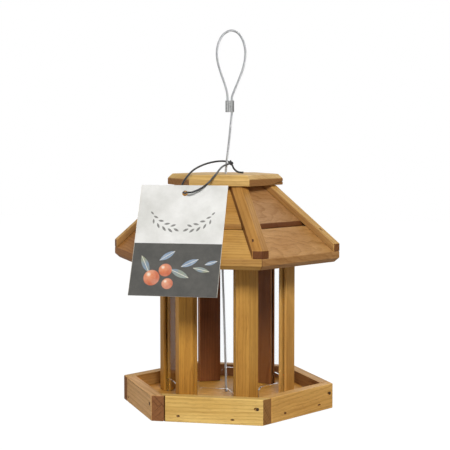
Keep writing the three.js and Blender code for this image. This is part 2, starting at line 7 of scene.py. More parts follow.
import bmesh
import bpy
import numpy as np
from mathutils import Matrix, Vector, noise
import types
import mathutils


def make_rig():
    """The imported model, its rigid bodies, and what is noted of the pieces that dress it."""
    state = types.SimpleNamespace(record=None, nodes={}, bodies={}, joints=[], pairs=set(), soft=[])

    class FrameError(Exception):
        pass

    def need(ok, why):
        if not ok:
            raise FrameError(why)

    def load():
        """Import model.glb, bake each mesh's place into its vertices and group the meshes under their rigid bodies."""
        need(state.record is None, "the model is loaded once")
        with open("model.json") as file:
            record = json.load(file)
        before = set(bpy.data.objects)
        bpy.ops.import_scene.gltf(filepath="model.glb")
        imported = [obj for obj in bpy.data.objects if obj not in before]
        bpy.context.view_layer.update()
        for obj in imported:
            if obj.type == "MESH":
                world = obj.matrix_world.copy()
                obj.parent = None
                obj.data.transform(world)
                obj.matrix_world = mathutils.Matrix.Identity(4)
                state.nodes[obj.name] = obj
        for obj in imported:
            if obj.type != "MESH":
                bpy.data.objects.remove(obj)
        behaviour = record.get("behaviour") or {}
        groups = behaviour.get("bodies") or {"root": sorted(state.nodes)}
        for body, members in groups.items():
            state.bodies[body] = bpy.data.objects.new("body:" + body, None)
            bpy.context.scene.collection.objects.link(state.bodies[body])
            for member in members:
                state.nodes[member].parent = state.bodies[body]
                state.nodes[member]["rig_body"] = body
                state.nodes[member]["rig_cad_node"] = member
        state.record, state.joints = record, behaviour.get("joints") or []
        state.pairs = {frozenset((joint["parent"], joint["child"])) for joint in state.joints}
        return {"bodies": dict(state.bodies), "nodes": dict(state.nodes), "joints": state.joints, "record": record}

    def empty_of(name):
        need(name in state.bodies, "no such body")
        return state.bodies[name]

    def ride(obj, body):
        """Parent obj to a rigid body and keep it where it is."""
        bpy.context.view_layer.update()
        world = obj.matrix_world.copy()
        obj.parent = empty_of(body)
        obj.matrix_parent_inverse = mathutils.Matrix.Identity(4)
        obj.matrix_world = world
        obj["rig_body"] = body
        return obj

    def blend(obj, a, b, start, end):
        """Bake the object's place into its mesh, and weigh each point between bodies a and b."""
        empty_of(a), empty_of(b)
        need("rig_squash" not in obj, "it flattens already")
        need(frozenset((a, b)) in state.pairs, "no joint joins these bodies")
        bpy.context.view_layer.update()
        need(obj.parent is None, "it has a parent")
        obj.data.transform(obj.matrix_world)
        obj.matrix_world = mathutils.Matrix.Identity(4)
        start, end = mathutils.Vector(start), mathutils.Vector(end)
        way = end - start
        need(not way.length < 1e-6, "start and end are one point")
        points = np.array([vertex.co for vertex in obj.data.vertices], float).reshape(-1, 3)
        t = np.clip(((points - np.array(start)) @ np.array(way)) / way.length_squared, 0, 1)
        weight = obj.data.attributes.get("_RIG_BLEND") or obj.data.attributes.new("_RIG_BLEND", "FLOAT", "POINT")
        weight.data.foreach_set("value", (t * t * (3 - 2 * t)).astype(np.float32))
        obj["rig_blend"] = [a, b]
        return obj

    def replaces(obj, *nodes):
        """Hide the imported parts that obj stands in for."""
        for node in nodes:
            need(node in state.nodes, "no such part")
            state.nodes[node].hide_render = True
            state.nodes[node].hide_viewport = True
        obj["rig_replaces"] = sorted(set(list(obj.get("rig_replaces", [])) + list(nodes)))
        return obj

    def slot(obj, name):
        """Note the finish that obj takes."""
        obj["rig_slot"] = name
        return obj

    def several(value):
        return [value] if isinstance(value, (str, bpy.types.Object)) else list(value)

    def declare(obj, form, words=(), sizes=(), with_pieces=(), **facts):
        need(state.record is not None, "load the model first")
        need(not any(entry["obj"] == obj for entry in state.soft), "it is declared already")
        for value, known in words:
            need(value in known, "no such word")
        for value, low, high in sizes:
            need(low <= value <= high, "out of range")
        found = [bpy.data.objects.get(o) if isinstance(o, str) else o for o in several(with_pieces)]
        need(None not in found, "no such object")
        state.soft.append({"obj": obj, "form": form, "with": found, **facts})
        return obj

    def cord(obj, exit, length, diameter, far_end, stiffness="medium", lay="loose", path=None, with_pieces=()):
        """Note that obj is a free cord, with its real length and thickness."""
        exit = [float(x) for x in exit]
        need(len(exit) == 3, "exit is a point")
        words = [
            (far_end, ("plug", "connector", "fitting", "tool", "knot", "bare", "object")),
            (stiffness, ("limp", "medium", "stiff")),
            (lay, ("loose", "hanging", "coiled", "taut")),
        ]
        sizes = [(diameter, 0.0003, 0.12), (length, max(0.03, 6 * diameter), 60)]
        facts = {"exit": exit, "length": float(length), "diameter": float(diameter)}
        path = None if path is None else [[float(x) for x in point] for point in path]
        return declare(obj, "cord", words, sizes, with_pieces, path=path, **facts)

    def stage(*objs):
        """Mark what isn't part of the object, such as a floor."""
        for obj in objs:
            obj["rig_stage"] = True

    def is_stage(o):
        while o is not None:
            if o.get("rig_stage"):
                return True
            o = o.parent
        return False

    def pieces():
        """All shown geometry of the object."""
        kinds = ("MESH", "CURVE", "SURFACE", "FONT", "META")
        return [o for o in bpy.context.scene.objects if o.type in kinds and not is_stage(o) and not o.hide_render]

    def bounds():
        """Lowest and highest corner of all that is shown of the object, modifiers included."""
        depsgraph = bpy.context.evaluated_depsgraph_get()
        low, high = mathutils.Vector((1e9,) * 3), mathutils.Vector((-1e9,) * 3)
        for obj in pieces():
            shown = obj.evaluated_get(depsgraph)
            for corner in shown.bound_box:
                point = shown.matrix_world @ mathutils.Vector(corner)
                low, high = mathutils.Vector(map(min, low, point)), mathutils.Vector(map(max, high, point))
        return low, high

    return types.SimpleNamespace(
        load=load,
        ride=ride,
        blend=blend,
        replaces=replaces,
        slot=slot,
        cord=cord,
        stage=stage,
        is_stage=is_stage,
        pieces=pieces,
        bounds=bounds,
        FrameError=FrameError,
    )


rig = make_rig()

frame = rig.load()
cad_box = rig.bounds()
nodes = frame["nodes"]

MM = 0.001

SIDES = ["front", "right_front", "right_back", "back", "left_back", "left_front"]
CORNERS = ["front_right", "right", "back_right", "back_left", "left", "front_left"]
ROOF_TURN = -1.0
CAP_TURN = 5.3
LOOP_TURN = 12.0
SIDE_STEP = 60
HALF_STEP = 30  # from a side to its corner


def outward(turn):
    """The level direction at a turn from the front."""
    angle = math.radians(turn - 90)
    return Vector((math.cos(angle), math.sin(angle), 0))


def side_turn(side):
    return SIDE_STEP * SIDES.index(side)


def corner_turn(corner):
    return HALF_STEP + SIDE_STEP * CORNERS.index(corner)


# Camera and stage

FOCAL_PIXELS = 1285
FRAME_PIXELS = 450
PRINCIPAL_PIXEL = 226.6
SENSOR_MM = 36
CAMERA_PLACE = (0.2851, -1.3707, 0.2971)
CAMERA_TURNS = (85.915, 0, 11.75)


def make_camera():
    data = bpy.data.cameras.new("camera")
    data.sensor_width = SENSOR_MM
    data.lens = FOCAL_PIXELS / FRAME_PIXELS * SENSOR_MM
    data.shift_x = (FRAME_PIXELS / 2 - PRINCIPAL_PIXEL) / FRAME_PIXELS
    camera = bpy.data.objects.new("camera", data)
    camera.location = CAMERA_PLACE
    camera.rotation_euler = [math.radians(angle) for angle in CAMERA_TURNS]
    bpy.context.collection.objects.link(camera)
    bpy.context.scene.camera = camera


class Nodes:
    """A material's node tree, with short calls for the nodes used here."""

    def __init__(self, name):
        self.material = bpy.data.materials.new(name)
        self.material.use_nodes = True
        self.tree = self.material.node_tree
        self.shader = self.tree.nodes["Principled BSDF"]
        self.output = self.tree.nodes["Material Output"]

    def put(self, socket, value):
        if isinstance(value, bpy.types.NodeSocket):
            self.tree.links.new(value, socket)
        else:
            socket.default_value = value

    def add(self, kind, values=None, **settings):
        node = self.tree.nodes.new(kind)
        for key, value in settings.items():
            setattr(node, key, value)
        for key, value in (values or {}).items():
            self.put(node.inputs[key], value)
        return node

    def math(self, operation, *values, clamp=False):
        node = self.add("ShaderNodeMath", operation=operation, use_clamp=clamp)
        for socket, value in zip(node.inputs, values):
            self.put(socket, value)
        return node.outputs[0]

    def vector(self, operation, *values):
        node = self.add("ShaderNodeVectorMath", operation=operation)
        for socket, value in zip(node.inputs, values):
            self.put(socket, value)
        return node.outputs["Value" if operation in ("LENGTH", "DOT_PRODUCT") else "Vector"]

    def attribute(self, name, output="Vector"):
        return self.add("ShaderNodeAttribute", attribute_name=name).outputs[output]

    def object_place(self):
        return self.add("ShaderNodeTexCoord").outputs["Object"]

    def noise(self, place, scale, detail=2.0, roughness=0.5):
        """Noise with so many waves to the metre along each axis."""
        scaled = self.vector("MULTIPLY", place, scale)
        values = {"Vector": scaled, "Scale": 1.0, "Detail": detail, "Roughness": roughness}
        return self.add("ShaderNodeTexNoise", values).outputs["Fac"]

    def ramp(self, factor, *stops):
        """A smooth map from a factor to the values at its stops."""
        node = self.add("ShaderNodeValToRGB", {"Fac": factor})
        elements = node.color_ramp.elements
        while len(elements) < len(stops):
            elements.new(1.0)
        for element, (place, value) in zip(elements, stops):
            element.position = place
            element.color = (value, value, value, 1)
        return node.outputs["Color"]

    def mix(self, factor, first, second, blend="MIX"):
        node = self.add("ShaderNodeMix", data_type="RGBA", blend_type=blend)
        for socket, value in ((0, factor), (6, first), (7, second)):
            self.put(node.inputs[socket], value)
        return node.outputs[2]

    def bump(self, height, distance, strength=1.0):
        values = {"Height": height, "Distance": distance, "Strength": strength}
        return self.add("ShaderNodeBump", values).outputs["Normal"]

    def finish(self, **inputs):
        for key, value in inputs.items():
            self.put(self.shader.inputs[key.replace("_", " ").title().replace("Ior", "IOR")], value)
        return self.material


def colour(red, green, blue):
    """A colour from its 0 to 255 display values."""
    shares = [value / 255 for value in (red, green, blue)]
    return tuple(s / 12.92 if s <= 0.04045 else ((s + 0.055) / 1.055) ** 2.4 for s in shares) + (1,)


WHITE = (1, 1, 1, 1)
WORLD_LIGHT = 0.1
WORLD_IN_GLOSS = 0.5
FLOOR_GLOW = 0.99
FLOOR_GLOW_SHARE = 0.88  # the rest is plain lit floor, which keeps a faint shadow
FLOOR_SIZE = 6
FLOOR_GREY = (0.5, 0.5, 0.5, 1)
FLOOR_DROP = 0.4 * MM  # keeps the floor clear of the tray's foot


def seen_directly(light_path, join):
    """1 for what the camera sees, itself or through a clear panel, and 0 for light that bounced."""
    outputs = light_path.outputs
    seen = join("MAXIMUM", outputs["Is Camera Ray"], outputs["Is Transmission Ray"])
    return join("MULTIPLY", seen, join("LESS_THAN", outputs["Diffuse Depth"], 0.5))


def make_world():
    world = bpy.data.worlds.new("studio")
    world.use_nodes = True
    bpy.context.scene.world = world
    tree = world.node_tree
    path = tree.nodes.new("ShaderNodeLightPath")

    def join(operation, first, second):
        node = tree.nodes.new("ShaderNodeMath")
        node.operation = operation
        for socket, value in zip(node.inputs, (first, second)):
            if isinstance(value, bpy.types.NodeSocket):
                tree.links.new(value, socket)
            else:
                socket.default_value = value
        return node.outputs[0]

    gloss = join("MULTIPLY", path.outputs["Is Glossy Ray"], WORLD_IN_GLOSS)
    lit = join("MAXIMUM", gloss, WORLD_LIGHT)
    strength = join("MAXIMUM", seen_directly(path, join), lit)
    background = tree.nodes["Background"]
    background.inputs["Color"].default_value = WHITE
    tree.links.new(strength, background.inputs["Strength"])


def make_floor():
    bm = bmesh.new()
    bmesh.ops.create_grid(bm, x_segments=4, y_segments=4, size=FLOOR_SIZE / 2)
    mesh = bpy.data.meshes.new("studio_floor")
    bm.to_mesh(mesh)
    floor = bpy.data.objects.new("studio_floor", mesh)
    floor.location.z = -FLOOR_DROP
    bpy.context.collection.objects.link(floor)
    n = Nodes("studio_floor")
    n.finish(base_color=FLOOR_GREY, roughness=0.9)
    path = n.add("ShaderNodeLightPath")
    glow = n.add("ShaderNodeEmission", {"Color": WHITE, "Strength": FLOOR_GLOW / FLOOR_GLOW_SHARE})
    share = n.math("MULTIPLY", seen_directly(path, n.math), FLOOR_GLOW_SHARE)
    surface = n.add("ShaderNodeMixShader", {0: share, 1: n.shader.outputs[0], 2: glow.outputs[0]})
    clear = n.add("ShaderNodeBsdfTransparent", {"Color": WHITE})
    below = n.add("ShaderNodeNewGeometry").outputs["Backfacing"]
    both = n.add("ShaderNodeMixShader", {0: below, 1: surface.outputs[0], 2: clear.outputs[0]})
    n.put(n.output.inputs["Surface"], both.outputs[0])
    mesh.materials.append(n.material)
    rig.stage(floor)


LAMP_AIM = Vector((0, 0, 0.15))
# Each lamp's name, turn from the front, rise, distance, size and level
LAMPS = [
    ("key", 20, 30, 2.2, 0.55, 0.8),
    ("left_fill", -75, 20, 2.0, 1.2, 0.3),
    ("back_light", 170, 40, 2.2, 1.5, 0.35),
]


def make_lamp(name, turn, rise, distance, size, level):
    """A square lamp. At level 1, a surface that faces it shows its own colour."""
    data = bpy.data.lights.new(name, "AREA")
    data.size = size
    data.energy = level * (math.pi * distance) ** 2
    lamp = bpy.data.objects.new(name, data)
    angle = math.radians(rise)
    towards = outward(turn) * math.cos(angle) + Vector((0, 0, math.sin(angle)))
    lamp.location = LAMP_AIM + towards * distance
    lamp.rotation_euler = (-towards).to_track_quat("-Z", "Y").to_euler()
    bpy.context.collection.objects.link(lamp)


bpy.context.scene.view_settings.view_transform = "Standard"
make_camera()
make_world()
make_floor()
for lamp in LAMPS:
    make_lamp(*lamp)

# Cords: their routes in mm, repeated from the part, and round tubes along them

WIRE_DIAMETER = 2.5 * MM
WIRE_ROUTE = [
    (0, 0, 1.2), (0, 0, 8), (-0.6, 0, 22), (-1.6, 0, 62), (-2.6, 0, 95), (-4.1, 0, 138),
    (-4.9, 0, 165), (-4.7, 0, 187), (-3.4, 0, 205), (-1.9, 0, 221), (-1.3, 0, 234),
    (-1.1, 0, 252), (0.2, 0, 267), (2.7, 0, 289), (4.8, 0, 310), (5.7, 0, 320), (5.7, 0, 332.4),
    (6.1, 0, 337), (8.5, 0, 343.5), (12.4, 0, 352.8), (17.4, 0, 366), (20, 0, 378),
    (20, 0, 388.5), (17.2, 0, 398.2), (12.2, 0, 405.2), (5.3, 0, 407.8), (-2.8, 0, 404.2),
    (-8.2, 0, 395.8), (-10.5, 0, 384.3), (-9.3, 0, 373.2), (-6.2, 0, 362.5), (-1.4, 0, 348.6),
    (0.8, 0, 339.5), (1.1, 0, 332.4), (1.1, 0, 320),
]
CORD_DIAMETER = 2 * MM
CORD_LENGTH = 0.219
CORD_ROUTE = [
    (2.8, 3.8, 265.7), (-0.3, 4.7, 266.3), (-3.3, 3, 266.7), (-7.5, -2.5, 266.8),
    (-14.5, -13.2, 265.6), (-21, -26.8, 262.9), (-26.9, -42.2, 258.3), (-30.5, -56.8, 251.8),
    (-32.6, -66.4, 245.6), (-33.1, -70.7, 240.8), (-32.3, -72.3, 238.4), (-30.7, -74.2, 236.7),
    (-29.2, -76.5, 235.5), (-27.9, -78.8, 235.1), (-26.9, -81, 235.1), (-26.1, -83, 235.4),
    (-24.7, -85.2, 236), (-22.2, -86.9, 236.3), (-19, -87.5, 236.5), (-14.5, -86.2, 237.9),
    (-10.9, -84.3, 239.7), (-7.4, -82, 242), (-4.8, -79, 244.4), (-3.2, -69.5, 247.4),
    (-1.9, -61.6, 250.7), (-0.9, -54, 253.4), (-0.2, -46, 256), (0, -38.8, 258.2),
    (-0.2, -18.4, 261.7), (1.2, -8, 263.1), (3.5, -1.2, 264.1),
]
TAIL_ROUTE = [(5.9, 0.3, 263), (9, -2, 258.2), (13.4, -3.3, 255.2), (19.3, -4.1, 254.6)]
KNOT_PLACE = (4.4, 1.4, 265)


def smooth(route, step):
    """Points about a step apart on a centripetal Catmull-Rom curve through a route."""
    points = [Vector(place) * MM for place in route]
    points = [2 * points[0] - points[1], *points, 2 * points[-1] - points[-2]]
    line = []
    for before, start, end, after in zip(points, points[1:], points[2:], points[3:]):
        times = [0.0]
        for a, b in ((before, start), (start, end), (end, after)):
            times.append(times[-1] + math.sqrt((b - a).length))
        count = max(2, round((end - start).length / step))
        for i in range(count):
            t = times[1] + (times[2] - times[1]) * i / count
            line.append(catmull_rom((before, start, end, after), times, t))
    return line + [points[-2]]


SPANS = [[(0, 1), (1, 2), (2, 3)], [(0, 2), (1, 3)], [(1, 2)]]


def catmull_rom(corners, times, t):
    """The place at time t on the curve's middle span, by repeated blending."""
    level = corners
    for spans in SPANS:
        shares = [(t - times[low]) / (times[high] - times[low]) for low, high in spans]
        level = [a.lerp(b, share) for a, b, share in zip(level, level[1:], shares)]
    return level[0]


def carried_frames(line):
    """Two directions square to a line at each point, carried along it without twist."""
    ahead = [(b - a).normalized() for a, b in zip(line, line[1:])]
    tangents = [ahead[0], *[(a + b).normalized() for a, b in zip(ahead, ahead[1:])], ahead[-1]]
    side = tangents[0].orthogonal().normalized()
    frames = []
    for tangent in tangents:
        side = (side - tangent * side.dot(tangent)).normalized()
        frames.append((side, tangent.cross(side)))
    return frames


def skin(bm, rings, closed=False):
    """Faces from ring to ring of points, with a face over either end unless the rings close up."""
    pairs = list(zip(rings, rings[1:])) + ([(rings[-1], rings[0])] if closed else [])
    for ring, following in pairs:
        for k in range(len(ring)):
            after = (k + 1) % len(ring)
            bm.faces.new((ring[k], ring[after], following[after], following[k]))
    if not closed:
        bm.faces.new(rings[0][::-1])
        bm.faces.new(rings[-1])


def tube(bm, line, radius, sides, closed=False):
    """A round tube along a line. Its lay is metres along and the way round. radius may be a function."""
    lay = bm.verts.layers.float_vector["lay"]
    frames = carried_frames(line)
    rings = []
    travelled = 0.0
    for i, (point, (side, up)) in enumerate(zip(line, frames)):
        travelled += (point - line[i - 1]).length if i else 0
        size = radius(i / (len(line) - 1)) if callable(radius) else radius
        ring = []
        for k in range(sides):
            angle = 2 * math.pi * k / sides
            vert = bm.verts.new(point + (side * math.cos(angle) + up * math.sin(angle)) * size)
            vert[lay] = (travelled, math.cos(angle), math.sin(angle))
            ring.append(vert)
        rings.append(ring)
    skin(bm, rings, closed)


def tube_piece(name, tubes, material):
    bm = bmesh.new()
    bm.verts.layers.float_vector.new("lay")
    for line, radius, sides, closed in tubes:
        tube(bm, line, radius, sides, closed)
    return piece_of(name, bm, material)


def piece_of(name, bm, *materials, smooth_faces=True):
    mesh = bpy.data.meshes.new(name)
    bm.to_mesh(mesh)
    bm.free()
    mesh.polygons.foreach_set("use_smooth", [smooth_faces] * len(mesh.polygons))
    for material in materials:
        mesh.materials.append(material)
    piece = bpy.data.objects.new(name, mesh)
    bpy.context.collection.objects.link(piece)
    return piece


BRAID_PITCH = 1.6 * MM
BRAID_STRANDS = 4.0
BRAID_RELIEF = 0.12 * MM


def braided_cord():
    """Black braided cord with a low sheen: two sets of strands that cross."""
    n = Nodes("black_braid")
    lay = n.attribute("lay")
    parts = n.add("ShaderNodeSeparateXYZ", {"Vector": lay})
    turn = n.math("ARCTAN2", parts.outputs[2], parts.outputs[1])
    along = n.math("MULTIPLY", parts.outputs[0], 2 * math.pi / BRAID_PITCH)
    strands = n.math("MULTIPLY", turn, BRAID_STRANDS)
    left = n.math("SINE", n.math("ADD", along, strands))
    right = n.math("SINE", n.math("SUBTRACT", along, strands))
    weave = n.math("MULTIPLY_ADD", n.math("MAXIMUM", left, right), 0.5, 0.5)
    fuzz = n.noise(n.object_place(), (2600,) * 3, detail=3)
    # Darker in the grooves between strands: painted shade, over the fuzz's own mottle
    shade = n.math("MULTIPLY_ADD", fuzz, 0.35, n.math("MULTIPLY", weave, 0.65))
    base = n.mix(shade, colour(9, 9, 10), colour(36, 35, 36))
    rough = n.math("MULTIPLY_ADD", shade, -0.2, 0.62)
    normal = n.bump(shade, BRAID_RELIEF)
    return n.finish(base_color=base, roughness=rough, normal=normal, sheen_weight=0.1)


WIRE_GROOVES = 2600.0  # radians to the metre
WIRES_ROUND = 6.0
WIRE_RELIEF = 0.02 * MM


def wire_steel():
    """Galvanised wire: pale grey zinc, a little darker between the strands."""
    n = Nodes("galvanised_wire")
    place = n.object_place()
    spots = n.ramp(n.noise(place, (900,) * 3, detail=3), (0.3, 0), (0.7, 1))
    lay = n.add("ShaderNodeSeparateXYZ", {"Vector": n.attribute("lay")})
    turn = n.math("ARCTAN2", lay.outputs[2], lay.outputs[1])
    wires = n.math("MULTIPLY", turn, WIRES_ROUND)
    wires = n.math("SINE", n.math("MULTIPLY_ADD", lay.outputs[0], WIRE_GROOVES, wires))
    base = n.mix(spots, colour(164, 166, 168), colour(204, 205, 206))
    rough = n.math("MULTIPLY_ADD", spots, 0.16, 0.3)
    normal = n.bump(wires, WIRE_RELIEF)
    return n.finish(base_color=base, roughness=rough, normal=normal, metallic=0.85)


ROPE_STRANDS = 6
ROPE_LAY = 15 * MM  # length of one turn of a strand
ROPE_STEP = 0.8 * MM
STRAND_SIDES = 8
TWIST_START = (0, 0, 0.256)  # the rope turns with its loop only above the cap
TWIST_END = (0, 0, 0.318)


def loop_place(place):
    """The wire's route lies in a plane that is turned from the front."""
    turn = math.radians(LOOP_TURN)
    side, _, height = place
    return (side * math.cos(turn), side * math.sin(turn), height)


def make_wire():
    route = [loop_place(place) for place in WIRE_ROUTE]
    line = smooth(route, ROPE_STEP)
    frames = carried_frames(line)
    strand = WIRE_DIAMETER / 6
    lengths = np.concatenate([[0], np.cumsum([(b - a).length for a, b in zip(line, line[1:])])])
    tubes = [(line, strand, STRAND_SIDES, False)]
    for k in range(ROPE_STRANDS):
        helix = []
        for point, (side, up), length in zip(line, frames, lengths):
            angle = 2 * math.pi * (length / ROPE_LAY + k / ROPE_STRANDS)
            helix.append(point + (side * math.cos(angle) + up * math.sin(angle)) * 2 * strand)
        tubes.append((helix, strand, STRAND_SIDES, False))
    rope = tube_piece("wire_rope", tubes, wire_steel())
    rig.replaces(rope, "hanging_wire")
    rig.blend(rope, "tray", "wire", start=TWIST_START, end=TWIST_END)
    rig.slot(rope, "wire")
    return rope, line, float(lengths[-1])


CORD_SIDES = 14
CORD_STEP = 0.9 * MM
TAIL_STEP = 0.7 * MM
FRAY = 0.12  # how much wider the tail's tip is
FRAY_START = 0.85
FRAY_SPAN = 0.15
KNOT_RADIUS = 0.9 * MM
KNOT_SCALE = 0.72 * MM
KNOT_POINTS = 72
KNOT_TURNS = (60, 20)  # about Y, after about X


def make_tag_cord():
    braid = braided_cord()
    line = smooth(CORD_ROUTE, CORD_STEP)
    cord = tube_piece("tag_cord_braid", [(line, CORD_DIAMETER / 2, CORD_SIDES, False)], braid)
    tail_line = smooth(TAIL_ROUTE, TAIL_STEP)

    def frayed(share):
        return CORD_DIAMETER / 2 * (1 + FRAY * max(0, share - FRAY_START) / FRAY_SPAN)

    tail = tube_piece("tag_cord_loose_end", [(tail_line, frayed, CORD_SIDES, False)], braid)
    knot = tube_piece("tag_cord_tied_knot", [(knot_line(), KNOT_RADIUS, CORD_SIDES, True)], braid)
    for piece, node in ((cord, "tag_cord"), (tail, "tag_cord_tail"), (knot, "tag_cord_knot")):
        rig.replaces(piece, node)
        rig.ride(piece, "roof")
        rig.slot(piece, "cord")
    return cord, line, tail, knot


def knot_line():
    """A tight overhand knot, drawn as a trefoil whose axis lies along the two strands."""
    about_y, about_x = [math.radians(angle) for angle in KNOT_TURNS]
    turn = Matrix.Rotation(about_y, 3, "Y") @ Matrix.Rotation(about_x, 3, "X")
    line = []
    for i in range(KNOT_POINTS):
        t = 2 * math.pi * i / KNOT_POINTS
        place = (
            math.sin(t) + 2 * math.sin(2 * t),
            math.cos(t) - 2 * math.cos(2 * t),
            -1.25 * math.sin(3 * t),
        )
        line.append(Vector(KNOT_PLACE) * MM + turn @ (Vector(place) * KNOT_SCALE))
    return line


rope, rope_line, rope_length = make_wire()
cord, cord_line, cord_tail, cord_knot = make_tag_cord()
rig.cord(
    cord,
    exit=cord_line[0],
    length=CORD_LENGTH,
    diameter=CORD_DIAMETER,
    far_end="knot",
    stiffness="limp",
    lay="loose",
    path=cord_line,
    with_pieces=[cord_tail, cord_knot, nodes["tag_card"]],
)
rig.cord(
    rope,
    exit=rope_line[0],
    length=rope_length,
    diameter=WIRE_DIAMETER,
    far_end="fitting",
    stiffness="stiff",
    lay="loose",
    path=rope_line,
    with_pieces=[nodes["loop_ferrule"], nodes["stop_ferrule"]],
)

# Timber

RING_SPACING = 3.1 * MM
FIGURE = 7 * MM  # how far the rings wander
RIPPLE = 6 * MM  # how far wavy grain wanders, at a wave of 1
UNEVEN = 5 * MM  # how far rings lie from an even spacing
TIMBER_RELIEF = 0.1 * MM

# Shares of a board's own colour
PALE = (1.22, 1.24, 1.3, 1)
DEEP = (0.7, 0.6, 0.46, 1)
SOAKED = (0.84, 0.76, 0.62, 1)
END = (0.36, 0.24, 0.19, 1)
END_PALE = (1.35, 1.4, 1.4, 1)  # of END
# Darker share for pores, checks and stains, and for painted shade on hollows and shaded faces
DARK_STAIN_AND_SHADE = (0.34, 0.22, 0.16, 1)
WORN = (1.14, 1.16, 1.2, 1)


def growth_rings(n, grain):
    """0 in pale early wood to 1 in late wood, in rings of uneven width that wander along the board."""
    drift = n.math("SUBTRACT", n.noise(grain, (8, 32, 32), detail=2.5), 0.5)
    ripple = n.math("SUBTRACT", n.noise(grain, (60, 70, 70), detail=1.5), 0.5)
    ripple = n.math("MULTIPLY", ripple, n.attribute("wave", "Fac"))
    radius = n.vector("LENGTH", n.vector("MULTIPLY", grain, (0, 1, 1)))
    radius = n.math("MULTIPLY_ADD", drift, FIGURE, radius)
    radius = n.math("MULTIPLY_ADD", ripple, RIPPLE, radius)
    line = n.add("ShaderNodeCombineXYZ", {0: radius}).outputs[0]
    uneven = n.noise(line, (150, 1, 1), detail=1.5)
    radius = n.math("MULTIPLY_ADD", uneven, UNEVEN, radius)
    ring = n.math("FRACT", n.math("DIVIDE", radius, RING_SPACING))
    late = n.ramp(ring, (0, 0.05), (0.5, 0.25), (0.88, 1), (1, 0.05))
    return n.math("MULTIPLY", late, n.math("MULTIPLY_ADD", uneven, 1.2, 0.35), clamp=True)


def side_grain(n, grain, late):
    """Shares of the wood's colour along the grain, and the relief's height."""
    band = n.ramp(n.noise(grain, (12, 130, 130), detail=3, roughness=0.6), (0.3, 0), (0.7, 1))
    streak = n.ramp(n.noise(grain, (26, 620, 620), detail=2.5), (0.3, 0), (0.7, 1))
    fibre = n.noise(grain, (60, 2400, 2400), detail=2)
    tone = n.math("MULTIPLY_ADD", late, 0.4, n.math("MULTIPLY", band, 0.32))
    tone = n.math("MULTIPLY_ADD", streak, 0.24, tone)
    tone = n.math("MULTIPLY_ADD", fibre, 0.16, tone, clamp=True)
    shares = n.mix(tone, PALE, DEEP)
    soak = n.ramp(n.noise(grain, (7, 24, 24), detail=2.5), (0.38, 0), (0.68, 1))
    shares = n.mix(soak, shares, n.mix(1.0, shares, SOAKED, "MULTIPLY"))
    pore = n.ramp(n.noise(grain, (120, 1800, 1800), detail=1), (0.6, 0), (0.68, 1))
    shares = n.mix(n.math("MULTIPLY", pore, 0.3), shares, n.mix(1.0, shares, DARK_STAIN_AND_SHADE, "MULTIPLY"))
    relief = n.math("MULTIPLY_ADD", fibre, 0.5, n.math("MULTIPLY", streak, 0.5))
    return shares, n.math("MULTIPLY_ADD", pore, -0.6, relief), tone


def end_grain(n, grain, late):
    """Dark thirsty end grain: bold rings, specks, and fine checks that run out from the pith."""
    parts = n.add("ShaderNodeSeparateXYZ", {"Vector": grain})
    angle = n.math("ARCTAN2", parts.outputs[1], parts.outputs[2])
    ray = n.add("ShaderNodeCombineXYZ", {0: angle, 1: parts.outputs[0]}).outputs[0]
    check = n.ramp(n.noise(ray, (34, 3, 1), detail=2), (0.6, 0), (0.68, 1))
    speck = n.noise(grain, (900, 1100, 1100), detail=3)
    tone = n.math("MULTIPLY_ADD", late, 0.55, n.math("MULTIPLY", speck, 0.5), clamp=True)
    shares = n.mix(tone, n.mix(1.0, END, END_PALE, "MULTIPLY"), END)
    return n.mix(n.math("MULTIPLY", check, 0.5), shares, n.mix(1.0, shares, DARK_STAIN_AND_SHADE, "MULTIPLY"))


def oiled_timber():
    """Oiled timber. Its colour is the mesh's, and its pattern lies in the board's own frame."""
    n = Nodes("oiled_timber")
    grain = n.attribute("grain")
    cut_end = n.ramp(n.attribute("end", "Fac"), (0.64, 0), (0.82, 1))
    stain_and_shade = n.attribute("stain_and_shade", "Fac")
    late = growth_rings(n, grain)
    side, relief, tone = side_grain(n, grain, late)
    shares = n.mix(cut_end, side, end_grain(n, grain, late))
    worn = n.math("MULTIPLY", n.attribute("edge", "Fac"), n.noise(grain, (70, 300, 300)))
    shares = n.mix(worn, shares, n.mix(1.0, shares, WORN, "MULTIPLY"))
    # Darkens faces by the mesh's share: stain, and painted shade on hollows, splits and shaded faces
    shares = n.mix(stain_and_shade, shares, n.mix(1.0, shares, DARK_STAIN_AND_SHADE, "MULTIPLY"))
    base = n.mix(1.0, n.attribute("wood", "Color"), shares, "MULTIPLY")
    rough = n.math("MULTIPLY_ADD", tone, 0.14, n.math("MULTIPLY_ADD", cut_end, 0.2, 0.46))
    normal = n.bump(relief, TIMBER_RELIEF)
    return n.finish(base_color=base, roughness=rough, normal=normal, specular_ior_level=0.3)


TIMBER = oiled_timber()

WELD = 0.01 * MM
FLAT = math.radians(0.4)  # faces this level with each other are made one
SHARP = math.radians(44)
EASED = math.radians(12)  # least turn at an arris that is rounded
EASE = 0.7 * MM  # how far arrises are rounded
FINE_EASE = 0.5 * MM
RAIL_EASE = 0.8 * MM
BOARD_EASE = 0.6 * MM
LEAST_ARRIS = 3 * MM  # shorter edges are round holes
CUT = 1  # material index of cut faces
LIKE = 0.8  # least cosine between a face and the way that it is said to look


def worked_copy(node):
    """The solid's faces, each as one clean polygon."""
    bm = bmesh.new()
    bm.from_mesh(nodes[node].data)
    bmesh.ops.remove_doubles(bm, verts=bm.verts, dist=WELD)
    bmesh.ops.dissolve_limit(bm, angle_limit=FLAT, verts=bm.verts, edges=bm.edges)
    return bm


